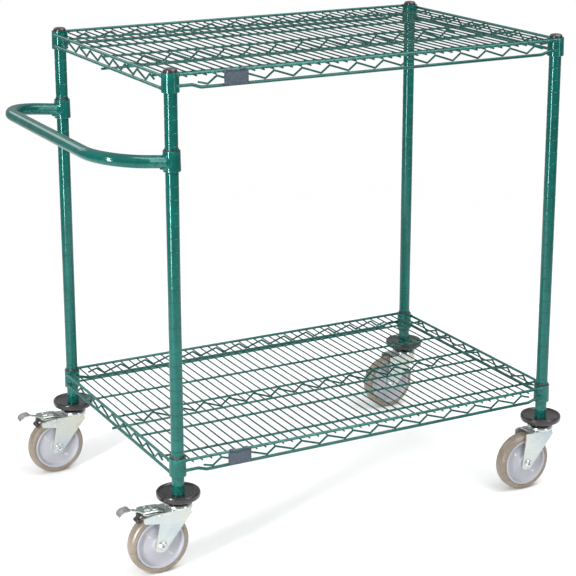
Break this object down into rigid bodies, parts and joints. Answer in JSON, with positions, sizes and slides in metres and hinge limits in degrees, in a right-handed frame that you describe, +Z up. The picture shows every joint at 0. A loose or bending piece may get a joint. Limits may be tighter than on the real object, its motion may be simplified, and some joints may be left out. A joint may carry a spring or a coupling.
{
  "type": "wire shelf cart",
  "caption": "Two-shelf wire utility cart with round posts, a U-shaped push handle, round bumpers and swivelling wheels with foot brakes.",
  "frame": {"origin": "middle of the whole cart's box, on the floor", "axes": "+X along the cart away from the push handle, +Y from the labelled front to the back, +Z up"},
  "size_m": [1.069, 0.659, 1.003],
  "materials": {
    "green_epoxy": "glossy epoxy coat over zinc-plated wire",
    "cap_plastic": "satin",
    "sleeve_plastic": "satin",
    "label_plastic": "satin, blank",
    "bumper_rubber": "matte",
    "stem_steel": "blackened",
    "zinc_plate": "bright zinc plate",
    "shoe_rubber": "matte",
    "core_plastic": "satin",
    "tread_polyurethane": "smooth, slightly glossy",
    "bushing_nylon": "satin"
  },
  "bodies": {
    "frame": {"bumpers": "bumper_rubber", "caster_stems": "stem_steel", "handle_collars": "green_epoxy", "handle_split_sleeves": "sleeve_plastic", "lower_bottom_wires": "green_epoxy", "lower_centre_truss": "green_epoxy", "lower_collars": "green_epoxy", "lower_label_holder": "label_plastic", "lower_mat_wires": "green_epoxy", "lower_snake_wires": "green_epoxy", "lower_split_sleeves": "sleeve_plastic", "lower_support_rods": "green_epoxy", "lower_top_wires": "green_epoxy", "post_back_left": "green_epoxy", "post_back_right": "green_epoxy", "post_caps": "cap_plastic", "post_front_left": "green_epoxy", "post_front_right": "green_epoxy", "push_handle": "green_epoxy", "upper_bottom_wires": "green_epoxy", "upper_centre_truss": "green_epoxy", "upper_collars": "green_epoxy", "upper_label_holder": "label_plastic", "upper_mat_wires": "green_epoxy", "upper_snake_wires": "green_epoxy", "upper_split_sleeves": "sleeve_plastic", "upper_support_rods": "green_epoxy", "upper_top_wires": "green_epoxy"},
    "fork_front_left": {"fork_front_left": "zinc_plate", "raceway_front_left": "zinc_plate", "axle_front_left": "zinc_plate", "brake_pins_front_left": "zinc_plate"},
    "wheel_front_left": {"wheel_core_front_left": "core_plastic", "tread_front_left": "tread_polyurethane", "bushing_front_left": "bushing_nylon"},
    "brake_front_left": {"brake_lever_front_left": "zinc_plate", "brake_shoe_front_left": "shoe_rubber"},
    "fork_back_left": {"fork_back_left": "zinc_plate", "raceway_back_left": "zinc_plate", "axle_back_left": "zinc_plate", "brake_pins_back_left": "zinc_plate"},
    "wheel_back_left": {"wheel_core_back_left": "core_plastic", "tread_back_left": "tread_polyurethane", "bushing_back_left": "bushing_nylon"},
    "brake_back_left": {"brake_lever_back_left": "zinc_plate", "brake_shoe_back_left": "shoe_rubber"},
    "fork_front_right": {"fork_front_right": "zinc_plate", "raceway_front_right": "zinc_plate", "axle_front_right": "zinc_plate"},
    "wheel_front_right": {"wheel_core_front_right": "core_plastic", "tread_front_right": "tread_polyurethane", "bushing_front_right": "bushing_nylon"},
    "fork_back_right": {"fork_back_right": "zinc_plate", "raceway_back_right": "zinc_plate", "axle_back_right": "zinc_plate"},
    "wheel_back_right": {"wheel_core_back_right": "core_plastic", "tread_back_right": "tread_polyurethane", "bushing_back_right": "bushing_nylon"}
  },
  "joints": [
    {"name": "swivel_front_left", "type": "hinge", "parent": "frame", "child": "fork_front_left", "pos_m": [-0.3825, -0.2855, 0.138], "axis": [0, 0, 1], "continuous": true},
    {"name": "wheel_spin_front_left", "type": "hinge", "parent": "fork_front_left", "child": "wheel_front_left", "pos_m": [-0.428, -0.2855, 0.0635], "axis": [0, 1, 0], "continuous": true},
    {"name": "brake_press_front_left", "type": "hinge", "parent": "fork_front_left", "child": "brake_front_left", "pos_m": [-0.4315, -0.2855, 0.1272], "axis": [0, -1, 0], "range_deg": [0, 6]},
    {"name": "swivel_back_left", "type": "hinge", "parent": "frame", "child": "fork_back_left", "pos_m": [-0.3825, 0.2855, 0.138], "axis": [0, 0, 1], "continuous": true},
    {"name": "wheel_spin_back_left", "type": "hinge", "parent": "fork_back_left", "child": "wheel_back_left", "pos_m": [-0.428, 0.2855, 0.0635], "axis": [0, 1, 0], "continuous": true},
    {"name": "brake_press_back_left", "type": "hinge", "parent": "fork_back_left", "child": "brake_back_left", "pos_m": [-0.4315, 0.2855, 0.1272], "axis": [0, -1, 0], "range_deg": [0, 6]},
    {"name": "swivel_front_right", "type": "hinge", "parent": "frame", "child": "fork_front_right", "pos_m": [0.4905, -0.2855, 0.138], "axis": [0, 0, 1], "continuous": true},
    {"name": "wheel_spin_front_right", "type": "hinge", "parent": "fork_front_right", "child": "wheel_front_right", "pos_m": [0.445, -0.2855, 0.0635], "axis": [0, 1, 0], "continuous": true},
    {"name": "swivel_back_right", "type": "hinge", "parent": "frame", "child": "fork_back_right", "pos_m": [0.4905, 0.2855, 0.138], "axis": [0, 0, 1], "continuous": true},
    {"name": "wheel_spin_back_right", "type": "hinge", "parent": "fork_back_right", "child": "wheel_back_right", "pos_m": [0.445, 0.2855, 0.0635], "axis": [0, 1, 0], "continuous": true}
  ]
}
